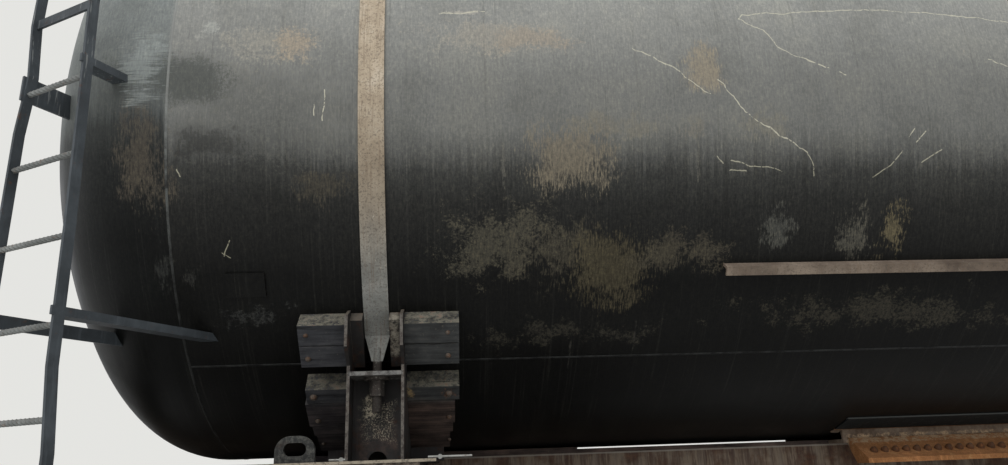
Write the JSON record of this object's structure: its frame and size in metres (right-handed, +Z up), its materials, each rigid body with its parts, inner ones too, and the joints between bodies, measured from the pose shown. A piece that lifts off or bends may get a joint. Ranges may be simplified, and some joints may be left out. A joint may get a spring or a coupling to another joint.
{
  "type": "four-axle railway tank car",
  "caption": "Four-axle railway tank car: cylindrical tank strapped to timber saddles on a centre-sill frame with two pivoting bogies, end ladders, top walkway and hinged manhole lid.",
  "frame": {"origin": "on the plane through the lowest points of the wheel flanges, midway between the bogies and on the car's centre line", "axes": "+X along the car, +Z up; the -Y side is the one pictured"},
  "size_m": [12.2176, 3.3944, 5.18],
  "materials": {
    "tank_paint": "gloss",
    "strap_paint": "worn",
    "frame_paint": "rusty",
    "rusty_plate": "rusty",
    "timber": "weathered",
    "ladder_paint": "worn",
    "walkway_steel": "worn",
    "cast_steel": "rough",
    "wheel_steel": "rough",
    "spring_steel": "rough",
    "fitting_paint": "satin"
  },
  "bodies": {
    "car": {"tank_barrel": "tank_paint", "tank_heads": "tank_paint", "manhole_neck": "tank_paint", "relief_valves": "fitting_paint", "walkway_frame": "walkway_steel", "walkway_boards": "walkway_steel", "handrails": "ladder_paint", "tank_straps": "strap_paint", "saddle_timbers": "timber", "tank_saddles": "frame_paint", "centre_sill": "frame_paint", "body_bolsters": "frame_paint", "centre_plates": "cast_steel", "end_frames": "frame_paint", "strikers": "cast_steel", "draft_gears": "cast_steel", "uncoupling_levers": "ladder_paint", "anchor_feet": "rusty_plate", "side_strips": "strap_paint", "tank_pads": "tank_paint", "ladder_stringers": "ladder_paint", "ladder_rungs": "ladder_paint", "bottom_outlet": "fitting_paint", "brake_cylinder": "fitting_paint", "air_reservoir": "fitting_paint", "air_distributor": "cast_steel", "brake_pipe": "fitting_paint", "brake_rods": "frame_paint"},
    "manhole_lid": {"manhole_lid": "fitting_paint"},
    "coupler_front": {"coupler_front": "cast_steel"},
    "coupler_rear": {"coupler_rear": "cast_steel"},
    "bogie_front": {"side_frames_front": "cast_steel", "bogie_bolster_front": "cast_steel", "springs_front": "spring_steel", "axle_boxes_front": "cast_steel", "brake_beams_front": "frame_paint"},
    "bogie_rear": {"side_frames_rear": "cast_steel", "bogie_bolster_rear": "cast_steel", "springs_rear": "spring_steel", "axle_boxes_rear": "cast_steel", "brake_beams_rear": "frame_paint"},
    "wheelset_1": {"wheelset_1": "wheel_steel"},
    "wheelset_2": {"wheelset_2": "wheel_steel"},
    "wheelset_3": {"wheelset_3": "wheel_steel"},
    "wheelset_4": {"wheelset_4": "wheel_steel"}
  },
  "joints": [
    {"name": "bogie_front_swivel", "type": "hinge", "parent": "car", "child": "bogie_front", "pos_m": [-3.9, 0, 0.834], "axis": [0, 0, 1], "range_deg": [-4, 4]},
    {"name": "bogie_rear_swivel", "type": "hinge", "parent": "car", "child": "bogie_rear", "pos_m": [3.9, 0, 0.834], "axis": [0, 0, 1], "range_deg": [-4, 4]},
    {"name": "wheelset_1_spin", "type": "hinge", "parent": "bogie_front", "child": "wheelset_1", "pos_m": [-4.825, 0, 0.503], "axis": [0, 1, 0], "continuous": true},
    {"name": "wheelset_2_spin", "type": "hinge", "parent": "bogie_front", "child": "wheelset_2", "pos_m": [-2.975, 0, 0.503], "axis": [0, 1, 0], "continuous": true},
    {"name": "wheelset_3_spin", "type": "hinge", "parent": "bogie_rear", "child": "wheelset_3", "pos_m": [2.975, 0, 0.503], "axis": [0, 1, 0], "continuous": true},
    {"name": "wheelset_4_spin", "type": "hinge", "parent": "bogie_rear", "child": "wheelset_4", "pos_m": [4.825, 0, 0.503], "axis": [0, 1, 0], "continuous": true},
    {"name": "manhole_lid_hinge", "type": "hinge", "parent": "car", "child": "manhole_lid", "pos_m": [0, 0.38, 4.52], "axis": [-1, 0, 0], "range_deg": [0, 105]},
    {"name": "coupler_front_swing", "type": "hinge", "parent": "car", "child": "coupler_front", "pos_m": [-5.115, 0, 1.088], "axis": [0, 0, 1], "range_deg": [-10, 10]},
    {"name": "coupler_rear_swing", "type": "hinge", "parent": "car", "child": "coupler_rear", "pos_m": [5.115, 0, 1.088], "axis": [0, 0, 1], "range_deg": [-10, 10]}
  ]
}
